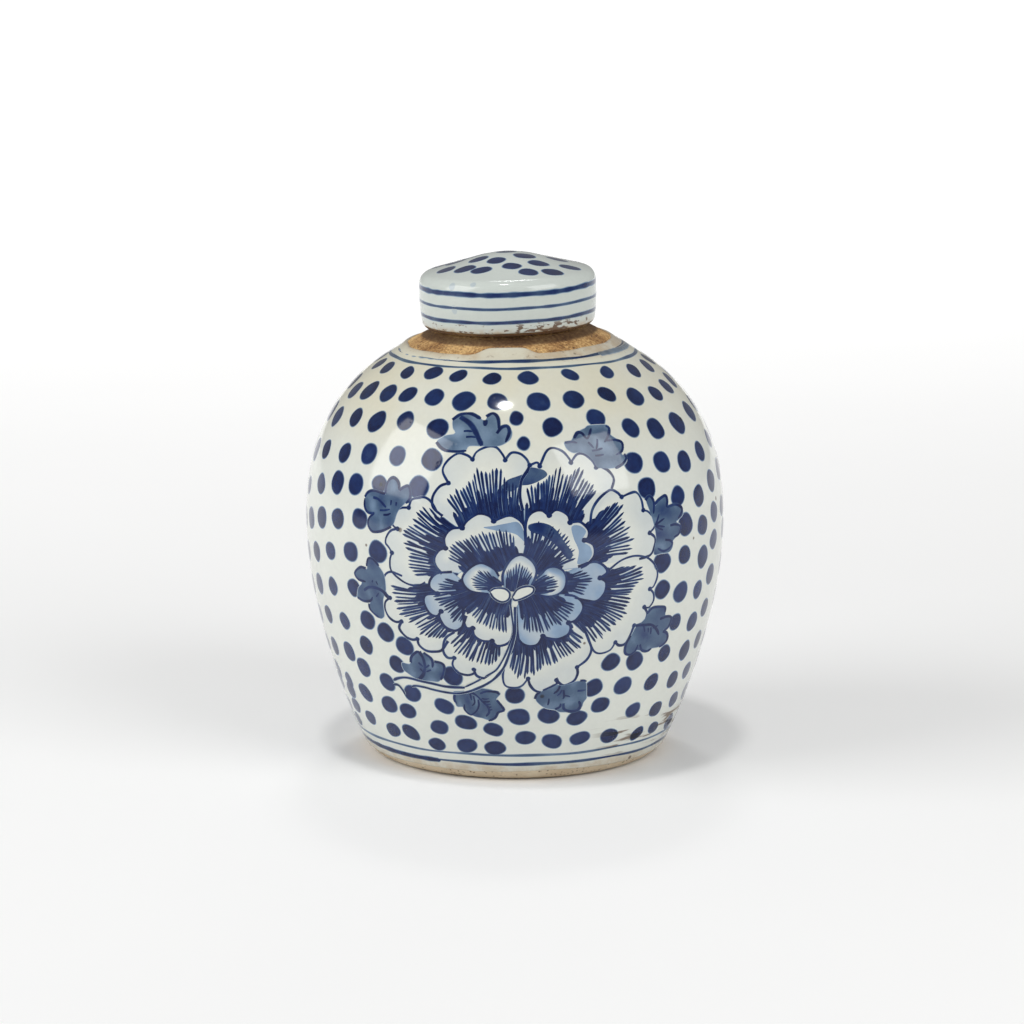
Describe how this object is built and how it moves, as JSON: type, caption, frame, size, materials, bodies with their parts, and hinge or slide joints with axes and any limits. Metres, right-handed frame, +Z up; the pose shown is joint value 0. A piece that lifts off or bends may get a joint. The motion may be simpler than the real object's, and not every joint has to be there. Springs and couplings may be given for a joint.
{
  "type": "ginger jar",
  "caption": "Round-bellied stoneware jar with a bare collar and short neck, and a loose domed cap lid; white glaze with hand-painted cobalt dots and a large peony.",
  "frame": {"origin": "centre of the foot, on the surface the jar stands on", "axes": "+Z up along the jar's axis, -Y towards the painted flower, +X to its right"},
  "size_m": [0.1642, 0.1642, 0.1969],
  "materials": {
    "clay": "bare fired stoneware, matt and grainy",
    "glaze": "glossy white glaze over painted cobalt blue",
    "lining": "glossy pale grey-white glaze"
  },
  "bodies": {
    "jar": {"jar_body": "clay", "jar_glaze": "glaze", "jar_lining": "lining"},
    "lid": {"lid_body": "clay", "lid_glaze": "glaze"}
  },
  "joints": [
    {"name": "lid_lift", "type": "slide", "parent": "jar", "child": "lid", "axis": [0, 0, 1], "range_m": [0, 0.06]}
  ]
}
